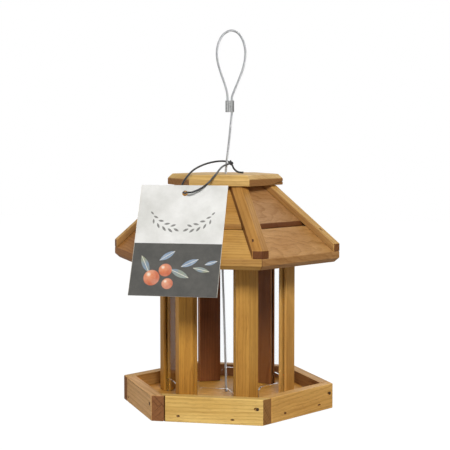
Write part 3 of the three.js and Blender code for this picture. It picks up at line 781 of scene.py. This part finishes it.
def ease_arrises(bm, width, segments=2):
    """Rounds the outer long edges, and marks the new faces as worn."""
    edge = bm.faces.layers.float.new("edge")
    arrises = [
        e
        for e in bm.edges
        if e.is_convex and e.calc_face_angle(0) > EASED and e.calc_length() > LEAST_ARRIS
    ]
    made = bmesh.ops.bevel(
        bm,
        geom=arrises,
        offset=width,
        segments=segments,
        profile=0.5,
        affect="EDGES",
        clamp_overlap=True,
    )
    for face in made["faces"]:
        face[edge] = 1.0


def loose_object(bm):
    mesh = bpy.data.meshes.new("worked")
    bm.to_mesh(mesh)
    bm.free()
    for _ in range(CUT + 1):
        mesh.materials.append(TIMBER)
    item = bpy.data.objects.new("worked", mesh)
    bpy.context.collection.objects.link(item)
    return item


def carved(bm, cutter):
    """The solid less a cutter, whose faces leave the cut index behind."""
    bmesh.ops.recalc_face_normals(cutter, faces=cutter.faces)
    for face in cutter.faces:
        face.material_index = CUT
    solid, tool = loose_object(bm), loose_object(cutter)
    modifier = solid.modifiers.new("cut", "BOOLEAN")
    modifier.operation = "DIFFERENCE"
    modifier.solver = "EXACT"
    modifier.object = tool
    result = bmesh.new()
    result.from_mesh(solid.evaluated_get(bpy.context.evaluated_depsgraph_get()).data)
    for item in (solid, tool):
        bpy.data.meshes.remove(item.data)
    return result


def lay_grain(bm, along, across, pith, slant):
    """Gives a board its own frame: along, across and through the grain, from a far slanting pith."""
    grain = bm.verts.layers.float_vector.new("grain")
    end = bm.faces.layers.float.new("end")
    centre = sum((v.co for v in bm.verts), Vector()) / len(bm.verts)
    through = along.cross(across)
    for v in bm.verts:
        place = v.co - centre
        parts = Vector((place.dot(along), place.dot(across), place.dot(through)))
        parts.z += slant * parts.x
        v[grain] = parts + Vector(pith) * MM
    for face in bm.faces:
        face[end] = abs(face.normal.dot(along))


def colour_wood(bm, wood, wave, shade_and_stains):
    """Lays a board's colour and wave, and darkens cut faces and faces that look given ways: stain, and painted shade.
    """
    tint = bm.verts.layers.float_color.new("wood")
    rippled = bm.verts.layers.float.new("wave")
    stain_and_shade = bm.faces.layers.float.new("stain_and_shade")
    for v in bm.verts:
        v[tint] = colour(*wood)
        v[rippled] = wave
    for face in bm.faces:
        shares = [share for way, share in shade_and_stains if face.normal.dot(way) > LIKE]
        # Cut faces of hollows, splits and the open joint are darkened fully: painted shade in them
        face[stain_and_shade] = 1.0 if face.material_index == CUT else max(shares, default=0)
        face.material_index = 0


def weigh_normals(piece):
    modifier = piece.modifiers.new("weighted_normals", "WEIGHTED_NORMAL")
    modifier.keep_sharp = True


def board(node, name, body, way, looks, ease=EASE, cutter=None, shade_and_stains=(), wave=0, slot="timber"):
    """Makes a board's visible piece. way holds the directions along its grain and across it.

    looks are its wood's colour, its pith's place in mm and its slant.
    """
    along, across = way
    wood, pith, slant = looks
    bm = worked_copy(node)
    ease_arrises(bm, ease)
    if cutter:
        bm = carved(bm, cutter)
    for e in bm.edges:
        e.smooth = e.calc_face_angle(0) < SHARP
    bm.normal_update()
    lay_grain(bm, along, across, pith, slant)
    colour_wood(bm, wood, wave, shade_and_stains)
    piece = piece_of(name, bm, TIMBER)
    weigh_normals(piece)
    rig.replaces(piece, node)
    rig.ride(piece, body)
    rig.slot(piece, slot)


# Nails, pins and the hollows that they sit in

DENT = (2.2 * MM, 1.1 * MM, 0.7 * MM)  # half lengths along the grain, across it and into it
RAGGED = 0.5  # how uneven a hollow is
OVERCUT = 0.3 * MM


def dent(bm, place, along, out, seed):
    """A ragged hollow torn into a surface, longest along the grain."""
    across = out.cross(along)
    made = bmesh.ops.create_icosphere(bm, subdivisions=3, radius=1.0)
    for v in made["verts"]:
        reach = v.co * (1 + RAGGED * noise.noise(v.co * 1.7 + Vector((seed, 2 * seed, 0))))
        spread = [reach[i] * DENT[i] for i in range(3)]
        v.co = place + along * spread[0] + across * spread[1] + out * spread[2]


def crack(bm, line, across, out, widths, depth):
    """A split: a wedge let into a surface along a line."""
    rings = []
    for place, width in zip(line, widths):
        top = place + out * OVERCUT
        spread = across * width * MM / 2
        rings.append([bm.verts.new(p) for p in (top + spread, top - spread, place - out * depth)])
    skin(bm, rings)


NAIL_SIDES = 20


def turned(name, profile, foot, axis, material, body):
    """A round piece from its outline: pairs of a height up the axis and a radius, in mm."""
    bm = bmesh.new()
    side = axis.orthogonal().normalized()
    up = axis.cross(side)
    rings = []
    for height, radius in profile:
        ring = []
        for k in range(NAIL_SIDES):
            angle = 2 * math.pi * k / NAIL_SIDES
            reach = (side * math.cos(angle) + up * math.sin(angle)) * radius * MM
            ring.append(bm.verts.new(foot + axis * height * MM + reach))
        rings.append(ring)
    skin(bm, rings)
    for e in bm.edges:
        e.smooth = e.calc_face_angle(0) < SHARP
    piece = piece_of(name, bm, material)
    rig.ride(piece, body)
    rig.slot(piece, "steel")
    return piece


PIN_PROFILE = [
    (-8.5, 0.15), (-7.6, 0.6), (-1.3, 0.6), (-1.0, 0.95),
    (-0.55, 1.0), (-0.42, 0.9), (-0.36, 0.5),
]
NAIL_PROFILE = [
    (-22, 0.2), (-20.4, 0.85), (-0.9, 0.85), (-0.7, 1.6),
    (-0.12, 1.7), (0, 1.55), (0.06, 0.8),
]
METAL_RELIEF = 0.02 * MM


def metal(name, pale, deep, roughness, metallic=1.0, scale=700):
    n = Nodes(name)
    place = n.object_place()
    stain_and_shade = n.ramp(n.noise(place, (scale,) * 3, detail=4), (0.3, 0), (0.7, 1))
    scuff = n.noise(place, (4 * scale, 4 * scale, scale), detail=2)
    base = n.mix(stain_and_shade, pale, deep)
    rough = n.math("MULTIPLY_ADD", stain_and_shade, 0.2, roughness)
    normal = n.bump(scuff, METAL_RELIEF)
    return n.finish(base_color=base, roughness=rough, metallic=metallic, normal=normal)


STEEL = metal("zinc_steel", colour(186, 187, 188), colour(134, 135, 137), 0.3)
NAIL = metal("oiled_nail", colour(98, 70, 46), colour(56, 38, 24), 0.5, 0.5)
FERRULE = metal("ferrule_alloy", colour(178, 179, 178), colour(132, 132, 131), 0.3, 0.95)

UP = Vector((0, 0, 1))
X = Vector((1, 0, 0))
Y = Vector((0, 1, 0))
ROOF_PITCH = 45.76
HIP_PITCH = 41.64
ROOF_SHIFT = Vector((-1.8, 0, 0)) * MM
TRAY_APOTHEM = 101.76 * MM
EAVE_APOTHEM = 109.2 * MM
BATTEN_TOP_AT_EAVE = 179.3 * MM


def slope_up(out, pitch):
    """The direction that climbs a roof face or a hip."""
    angle = math.radians(pitch)
    return UP * math.sin(angle) - out * math.cos(angle)


def level_along(out):
    return UP.cross(out)


# Each side's two nails into the floor: mm along the side, and height
FLOOR_NAILS = {
    "front": [(-29.7, 6.5), (27.2, 5.0)],
    "right_front": [(-22.6, 7.6), (35.0, 7.2)],
    "right_back": [(-31.2, 7.0), (29.1, 6.1)],
    "back": [(-27.5, 6.2), (33.8, 7.4)],
    "left_back": [(-34.0, 7.1), (24.6, 6.4)],
    "left_front": [(-38.4, 5.7), (25.5, 7.8)],
}
# Each batten's pin: mm out along the hip, and to the side
BATTEN_PINS = {
    "front_right": (112.0, -5.2),
    "right": (106.2, -4.9),
    "back_right": (110.4, -4.6),
    "back_left": (107.3, 5.1),
    "left": (111.5, 4.8),
    "front_left": (108.9, -5.0),
}


def rail_surface(side, along, height):
    """A place on a rail's outer face."""
    out = outward(side_turn(side))
    return out * TRAY_APOTHEM + level_along(out) * along * MM + UP * height * MM


def corner_nail_head(side):
    """The middle of the head of the solid's corner nail."""
    out = outward(side_turn(side))
    places = [v.co for v in nodes[f"rail_nail_{side}"].data.vertices]
    front = max(place.dot(out) for place in places)
    head = [place for place in places if place.dot(out) > front - WELD]
    return sum(head, Vector()) / len(head)


def nail_rail(side):
    """The nails of one rail, and the hollows that they need."""
    out = outward(side_turn(side))
    cutter = bmesh.new()
    for k, (along, height) in enumerate(FLOOR_NAILS[side]):
        place = rail_surface(side, along, height)
        dent(cutter, place, level_along(out), out, 3.1 * side_turn(side) + k)
        turned(f"floor_nail_{side}_{k + 1}", PIN_PROFILE, place, out, NAIL, "tray")
    nail = turned(f"corner_nail_{side}", NAIL_PROFILE, corner_nail_head(side), out, NAIL, "tray")
    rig.replaces(nail, f"rail_nail_{side}")
    return cutter


def pin_batten(corner):
    """The pin of one batten, and the hollow that it needs."""
    reach, aside = BATTEN_PINS[corner]
    lean = HALF_STEP if aside > 0 else -HALF_STEP
    turn = corner_turn(corner) + ROOF_TURN
    hip = outward(turn)
    face = outward(turn + lean)
    level = hip * reach * MM + level_along(hip) * aside * MM
    pitch = math.radians(ROOF_PITCH)
    rise = (EAVE_APOTHEM - level.dot(face)) * math.tan(pitch)
    place = level + ROOF_SHIFT + UP * (BATTEN_TOP_AT_EAVE + rise)
    out = (face * math.sin(pitch) + UP * math.cos(pitch)).normalized()
    cutter = bmesh.new()
    dent(cutter, place, slope_up(hip, HIP_PITCH), out, 1.7 * turn)
    turned(f"batten_pin_{corner}", PIN_PROFILE, place, out, NAIL, "roof")
    return cutter


# Splits, in mm along a side and up: a long one with its widths, and short ones from end to end
RAIL_SPLIT = [(-45, 25.3), (-20, 25.6), (6, 25.2), (34, 25.6), (56, 25.3)]
RAIL_SPLIT_WIDTHS = (0.1, 0.4, 0.5, 0.45, 0.3)
RAIL_SPLIT_DEPTH = 2.4 * MM
END_CHECKS = [
    ((-57.6, 7.5), (-46.5, 19.0)),
    ((-57.9, 22.5), (-51.5, 15.5)),
    ((-54.0, 3.0), (-48.0, 9.5)),
]
END_CHECK_WIDTHS = (0.15, 0.45)
END_CHECK_DEPTH = 1.5 * MM
JOINT_GAP = [(-44.2, -1.0), (-44.2, 14.0), (-44.2, 29.0)]
JOINT_GAP_WIDTHS = (1.3, 1.1, 1.4)
JOINT_GAP_DEPTH = 3 * MM
CAP_SPLIT = [(3.0, 241.4), (13.6, 242.5), (21.3, 244.0), (32.6, 245.2)]
CAP_SPLIT_WIDTHS = (0.1, 0.4, 0.7, 1.0)
CAP_SPLIT_DEPTH = 5 * MM


def split_left_front_rail(cutter):
    """A long split under the rail's top arris, and three short ones in its end grain."""
    out = outward(side_turn("left_front"))
    line = [rail_surface("left_front", *place) for place in RAIL_SPLIT]
    crack(cutter, line, UP, out, RAIL_SPLIT_WIDTHS, RAIL_SPLIT_DEPTH)
    front = outward(0)
    for ends in END_CHECKS:
        line = [rail_surface("front", *place) for place in ends]
        across = (line[1] - line[0]).cross(front).normalized()
        crack(cutter, line, across, front, END_CHECK_WIDTHS, END_CHECK_DEPTH)


def open_left_joint(cutter):
    """The gap at the front rail's left end, where it has shrunk from its neighbour."""
    line = [rail_surface("front", *place) for place in JOINT_GAP]
    crack(cutter, line, X, outward(0), JOINT_GAP_WIDTHS, JOINT_GAP_DEPTH)


def split_cap():
    """A split that opens towards the cap's right corner."""
    out = outward(SIDE_STEP + CAP_TURN)
    face = max(v.co.dot(out) for v in nodes["roof_cap"].data.vertices)
    line = [out * face + level_along(out) * a * MM + UP * z * MM for a, z in CAP_SPLIT]
    cutter = bmesh.new()
    crack(cutter, line, UP, out, CAP_SPLIT_WIDTHS, CAP_SPLIT_DEPTH)
    return cutter


# Each board's colour, its pith's place and its slant
RAILS = {
    "front": ((235, 201, 122), (120, 46, 30), 0.02),
    "right_front": ((224, 177, 99), (340, -30, 22), 0.06),
    "right_back": ((208, 164, 98), (560, 52, 34), 0.03),
    "back": ((204, 160, 104), (740, -40, 26), 0.05),
    "left_back": ((210, 166, 96), (910, 62, 20), 0.02),
    "left_front": ((224, 179, 120), (1130, 34, 38), 0.03),
}
LOWER_BOARDS = {
    "front": ((210, 168, 96), (80, 66, 18), 0.02),
    "right_front": ((195, 150, 93), (260, 8, 26), 0.12),
    "right_back": ((200, 156, 98), (420, 24, 26), 0.08),
    "back": ((204, 160, 96), (640, -58, 22), 0.02),
    "left_back": ((200, 154, 98), (850, 16, 30), 0.1),
    "left_front": ((175, 120, 55), (1010, 52, 24), 0.03),
}
UPPER_BOARDS = {
    "front": ((198, 153, 83), (1210, 58, 20), 0.02),
    "right_front": ((179, 135, 86), (1390, 4, 24), 0.14),
    "right_back": ((202, 156, 90), (1530, 46, 24), 0.04),
    "back": ((200, 154, 96), (1720, 12, 28), 0.1),
    "left_back": ((204, 158, 88), (1900, -52, 24), 0.03),
    "left_front": ((196, 148, 84), (2040, 30, 30), 0.05),
}
POSTS = {
    "front_right": ((197, 149, 70), (150, 40, 12), 0.01),
    "right": ((212, 166, 92), (330, 24, 34), 0.02),
    # The back posts are coloured darker than the rest: painted shade, for they stand inside the hopper
    "back_right": ((172, 116, 62), (480, 14, 30), 0.02),
    "back_left": ((168, 108, 54), (690, 50, 18), 0.01),
    "left": ((186, 137, 54), (860, 30, 26), 0.02),
    "front_left": ((198, 146, 61), (1040, -44, 20), 0.01),
}
BATTENS = {
    "front_right": ((190, 144, 78), (90, 38, 20), 0.01),
    "right": ((206, 164, 93), (250, 30, 24), 0.02),
    "back_right": ((206, 162, 98), (410, 44, 16), 0.01),
    "back_left": ((200, 154, 88), (570, 26, 30), 0.02),
    "left": ((204, 160, 92), (730, 36, 22), 0.01),
    "front_left": ((200, 152, 84), (890, 42, 18), 0.02),
}
FLOOR_LOOK = ((204, 150, 64), (200, 30, 60), 0.03)
CAP_LOOK = ((219, 184, 115), (300, 44, 30), 0.04)
RING_LOOK = ((150, 108, 66), (20, 40, 25), 0.02)
BLOCK_LOOK = ((146, 104, 62), (70, 20, 35), 0.02)

# How wavy the grain is, and how dark given faces are made, from 0 to 1. The insides of rails and back posts and the
# batten sides get painted shade, the laps painted shade and stain.
WAVES = {"right_front": 1.0, "left_back": 0.5, "back": 0.3}
RAIL_WAVE_SHARE = 0.4
FASCIA_DARKENING = 0.32
LAP_SHADE_AND_STAIN = {"front": 0.4, "right_front": 1.0}
OTHER_LAP_SHADE_AND_STAIN = 0.55
INNER_SHADE = {"right_back": 0.8, "back": 0.9, "left_back": 0.4}
BATTEN_SIDE_SHADE = 0.62
FOOT_DARKENING = 1.0
CORNER_STAIN = 0.3
POST_SHADE = {"back_right": 0.5, "back_left": 0.7}


def make_tray():
    board("tray_floor", "floor_board", "tray", (X, Y), FLOOR_LOOK, FINE_EASE)
    for side, looks in RAILS.items():
        out = outward(side_turn(side))
        cutter = nail_rail(side)
        if side == "left_front":
            split_left_front_rail(cutter)
        if side == "front":
            open_left_joint(cutter)
        wave = RAIL_WAVE_SHARE * WAVES.get(side, 0)
        way = (level_along(out), UP)
        # The rails' inner faces get painted shade
        shade_and_stains = [(-out, INNER_SHADE.get(side, 0)), (way[0], CORNER_STAIN)]
        board(f"rail_{side}", f"tray_rail_{side}", "tray", way, looks, RAIL_EASE, cutter, shade_and_stains, wave)


def make_hopper():
    for corner, looks in POSTS.items():
        out = outward(corner_turn(corner))
        # The back posts' inner faces get painted shade
        shade_and_stains = [(-out, POST_SHADE.get(corner, 0))]
        way = (UP, level_along(out))
        board(f"post_{corner}", f"grooved_post_{corner}", "tray", way, looks, shade_and_stains=shade_and_stains)
    board("post_ring", "hopper_ring", "tray", (X, Y), RING_LOOK, FINE_EASE, slot="hidden_timber")


def make_roof():
    for side in SIDES:
        out = outward(side_turn(side) + ROOF_TURN)
        up = slope_up(out, ROOF_PITCH)
        way = (level_along(out), up)
        lap = LAP_SHADE_AND_STAIN.get(side, OTHER_LAP_SHADE_AND_STAIN)
        for level, looks, foot in (("lower", LOWER_BOARDS, FASCIA_DARKENING), ("upper", UPPER_BOARDS, lap)):
            node = f"roof_board_{level}_{side}"
            # The lower boards' eave faces are darkened; the upper boards' lap faces get painted shade and stain
            shade_and_stains = [(out, foot), (-up, foot)]
            rest = {"ease": BOARD_EASE, "shade_and_stains": shade_and_stains, "wave": WAVES.get(side, 0)}
            board(node, f"{level}_board_{side}", "roof", way, looks[side], **rest)
    for corner, looks in BATTENS.items():
        out = outward(corner_turn(corner) + ROOF_TURN)
        way = (slope_up(out, HIP_PITCH), level_along(out))
        # Both sides of a batten get painted shade, and its foot is darkened
        shade_and_stains = [(way[1], BATTEN_SIDE_SHADE), (-way[1], BATTEN_SIDE_SHADE), (out, FOOT_DARKENING)]
        cutter = pin_batten(corner)
        board(f"hip_batten_{corner}", f"batten_{corner}", "roof", way, looks, EASE, cutter, shade_and_stains)
    board("roof_block", "centre_block", "roof", (X, Y), BLOCK_LOOK, FINE_EASE, slot="hidden_timber")
    along = level_along(outward(CAP_TURN))
    board("roof_cap", "cap_board", "roof", (along, UP.cross(along)), CAP_LOOK, RAIL_EASE, split_cap())


make_tray()
make_hopper()
make_roof()

# Clear panels, with saw-cut edges

PANEL_FACE = math.radians(10)  # a face that leans more than this is an edge
PANEL_EASE = 0.2 * MM
FACE_INDEX = 1.04  # the faces hardly mirror
EDGE_INDEX = 1.3
FACE_TINT = (0.97, 0.98, 0.985, 1)
EDGE_TINT = (0.86, 0.87, 0.86, 1)
EDGE_ROUGHNESS = 0.25
FAINT = (0.1, 0.1, 0.1, 1)


def clear_plastic(name, roughness, tint, ior):
    """Clear plastic with a faint shine. Shadow rays and scattered light go straight through."""
    n = Nodes(name)
    n.finish(base_color=tint, roughness=roughness, transmission_weight=1.0, ior=ior)
    n.finish(specular_tint=FAINT)
    path = n.add("ShaderNodeLightPath")
    clear = n.add("ShaderNodeBsdfTransparent", {"Color": tint})
    surface = n.shader.outputs[0]
    for ray in ("Is Shadow Ray", "Is Diffuse Ray"):
        values = {0: path.outputs[ray], 1: surface, 2: clear.outputs[0]}
        surface = n.add("ShaderNodeMixShader", values).outputs[0]
    n.put(n.output.inputs["Surface"], surface)
    return n.material


def make_panels():
    face_look = clear_plastic("clear_acrylic", 0.0, FACE_TINT, FACE_INDEX)
    edge_look = clear_plastic("acrylic_edge", EDGE_ROUGHNESS, EDGE_TINT, EDGE_INDEX)
    for side in SIDES:
        out = outward(side_turn(side))
        bm = worked_copy(f"panel_{side}")
        ease_arrises(bm, PANEL_EASE, 1)
        for face in bm.faces:
            face.material_index = 0 if abs(face.normal.dot(out)) > math.cos(PANEL_FACE) else 1
        piece = piece_of(f"acrylic_panel_{side}", bm, face_look, edge_look, smooth_faces=False)
        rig.replaces(piece, f"panel_{side}")
        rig.ride(piece, "tray")
        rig.slot(piece, "clear_panel")


make_panels()

# Metal


def dress(node, material):
    """Gives a CAD node another material."""
    nodes[node].data.materials.clear()
    nodes[node].data.materials.append(material)


def make_metal():
    for corner in CORNERS:
        dress(f"post_screw_{corner}", STEEL)
    dress("stop_washer", STEEL)
    dress("loop_ferrule", FERRULE)
    dress("stop_ferrule", FERRULE)


make_metal()

# Tag: printed on its front only. Places on it are in mm right of and below the middle of its hole.

TAG_LEAN = 26.7
TAG_HOLE = Vector((-26.9, -80.99, 235.09)) * MM
TAG_BAND = 56
TAG_HALF_WIDTH = 46
TAG_WEAR = 0.4  # how far in from its edge the card is worn
CARD_RELIEF = 0.01 * MM
TAG_ASIDE = 1.4  # from the middle of the card to its hole
INK = colour(78, 77, 73)
BLUE_GREY = colour(122, 141, 164)
PALE_BLUE = colour(176, 188, 200)
MOSS = colour(150, 152, 118)
ORANGE = colour(228, 142, 92)
DEEP_ORANGE = colour(192, 94, 54)
CREAM = colour(240, 232, 214)

# Middle, length, width and turn of each leaf
INK_LEAVES = [
    ((5.0, 41.0), 3.6, 1.3, -28),
    ((8.6, 36.2), 3.4, 1.2, 20),
    ((11.4, 41.6), 3.8, 1.3, -40),
    ((15.2, 34.4), 3.6, 1.2, 8),
    ((18.0, 39.8), 3.8, 1.3, -52),
    ((21.8, 31.2), 3.4, 1.2, -6),
    ((24.4, 36.6), 3.6, 1.2, -66),
    ((27.8, 27.0), 3.2, 1.1, -24),
    ((29.8, 31.8), 3.2, 1.1, -84),
    ((32.2, 22.6), 2.8, 1.0, -46),
]
LEAVES = [
    ((-33.0, 79.0), 10.5, 3.6, 62),
    ((-11.0, 69.5), 9.5, 3.2, -34),
    ((3.5, 88.5), 11.0, 3.8, 24),
    ((13.0, 77.0), 10.0, 3.2, -26),
    ((25.5, 84.0), 9.0, 2.8, 12),
    ((35.0, 76.5), 7.0, 2.2, -18),
]
# Middle and radius of each fruit
FRUITS = [((-25.0, 93.5), 8.5), ((-11.5, 85.0), 7.0), ((-8.0, 99.5), 6.0)]


class Print:
    """Shapes printed on a card, from their outlines."""

    def __init__(self, n, across, down):
        self.n = n
        self.place = n.add("ShaderNodeCombineXYZ", {0: across, 1: down}).outputs[0]

    def reach(self, place, middle, turn):
        """Lengths from a middle, along a turn and square to it."""
        angle = math.radians(turn)
        ways = ((math.cos(angle), math.sin(angle), 0), (-math.sin(angle), math.cos(angle), 0))
        for way in ways:
            start = middle[0] * way[0] + middle[1] * way[1]
            yield self.n.math("SUBTRACT", self.n.vector("DOT_PRODUCT", place, way), start)

    def leaf(self, place, middle, length, width, turn):
        """1 inside a pointed leaf, and 1 along its rib."""
        along, aside = self.reach(place, middle, turn)
        aside = self.n.math("ABSOLUTE", aside)
        share = self.n.math("DIVIDE", along, length)
        square = self.n.math("MULTIPLY", share, share)
        rim = self.n.math("ADD", square, self.n.math("DIVIDE", aside, width))
        inside = self.n.math("MULTIPLY", self.n.math("SUBTRACT", 1.0, rim), 3 * width, clamp=True)
        rib = self.n.math("MULTIPLY", self.n.math("SUBTRACT", 0.3, aside), 6.0, clamp=True)
        return inside, rib

    def disc(self, middle, radius, blur):
        """1 inside a disc, falling to 0 over a blur."""
        distance = self.n.vector("LENGTH", self.n.vector("SUBTRACT", self.place, (*middle, 0)))
        return self.n.math("DIVIDE", self.n.math("SUBTRACT", radius, distance), blur, clamp=True)


def tag_print(n, across, down, wash):
    """The card's printed front: a spray of ink leaves over a slate band with a fruiting twig."""
    art = Print(n, across, down)
    cloud = n.ramp(n.noise(art.place, (0.022,) * 3, detail=5, roughness=0.6), (0.38, 0), (0.68, 1))
    base = n.mix(cloud, colour(234, 233, 229), colour(206, 205, 199))
    folded = n.add("ShaderNodeCombineXYZ", {0: n.math("ABSOLUTE", across), 1: down}).outputs[0]
    for leaf in INK_LEAVES:
        inside, rib = art.leaf(folded, *leaf)
        base = n.mix(n.math("MULTIPLY", inside, 0.9), base, n.mix(rib, INK, colour(150, 149, 144)))
    slate = n.mix(wash, colour(70, 69, 65), colour(86, 84, 79))
    base = n.mix(n.math("GREATER_THAN", down, TAG_BAND), base, slate)
    for k, leaf in enumerate(LEAVES):
        inside, rib = art.leaf(art.place, *leaf)
        green = n.mix(wash, *((BLUE_GREY, PALE_BLUE) if k % 2 else (MOSS, BLUE_GREY)))
        base = n.mix(inside, base, n.mix(rib, green, CREAM))
    for middle, radius in FRUITS:
        rim = art.disc(middle, radius, 0.4)
        lit = art.disc((middle[0] - radius / 3, middle[1] - radius / 3), radius, radius)
        skin = n.mix(lit, DEEP_ORANGE, ORANGE)
        glint = art.disc((middle[0] - radius / 2.6, middle[1] - radius / 2.4), radius / 3, radius / 3)
        base = n.mix(rim, base, n.mix(glint, n.mix(n.math("MULTIPLY", wash, 0.3), skin, CREAM), CREAM))
    return base


def tag_card():
    """Matt card, printed on its front, with a bare back and pale worn edges."""
    n = Nodes("printed_card")
    lean = math.radians(TAG_LEAN)
    coordinates = n.add("ShaderNodeTexCoord").outputs
    place = n.vector("SUBTRACT", coordinates["Object"], tuple(TAG_HOLE))
    across = n.math("MULTIPLY", n.vector("DOT_PRODUCT", place, (1, 0, 0)), 1 / MM)
    down_way = (0, -math.sin(lean), -math.cos(lean))
    down = n.math("MULTIPLY", n.vector("DOT_PRODUCT", place, down_way), 1 / MM)
    wash = n.ramp(n.noise(place, (60,) * 3, detail=6, roughness=0.7), (0.4, 0), (0.7, 1))
    tooth = n.noise(place, (1500,) * 3, detail=2)
    front_way = (0, -math.cos(lean), math.sin(lean))
    front = n.math("GREATER_THAN", n.vector("DOT_PRODUCT", coordinates["Normal"], front_way), 0.5)
    bare = n.mix(wash, colour(226, 224, 218), colour(214, 211, 203))
    base = n.mix(front, bare, tag_print(n, across, down, wash))
    reach = n.math("ABSOLUTE", n.math("ADD", across, TAG_ASIDE))
    wear = n.math("GREATER_THAN", reach, TAG_HALF_WIDTH - TAG_WEAR)
    base = n.mix(n.math("MULTIPLY", wear, tooth), base, CREAM)
    base = n.mix(n.math("MULTIPLY", tooth, 0.06), base, colour(60, 58, 54))
    return n.finish(base_color=base, roughness=0.62, normal=n.bump(tooth, CARD_RELIEF))


dress("tag_card", tag_card())

with open("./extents.json", "w") as f:
    boxes = {"cad": cad_box, "visual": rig.bounds()}
    json.dump({name: [list(corner) for corner in box] for name, box in boxes.items()}, f)
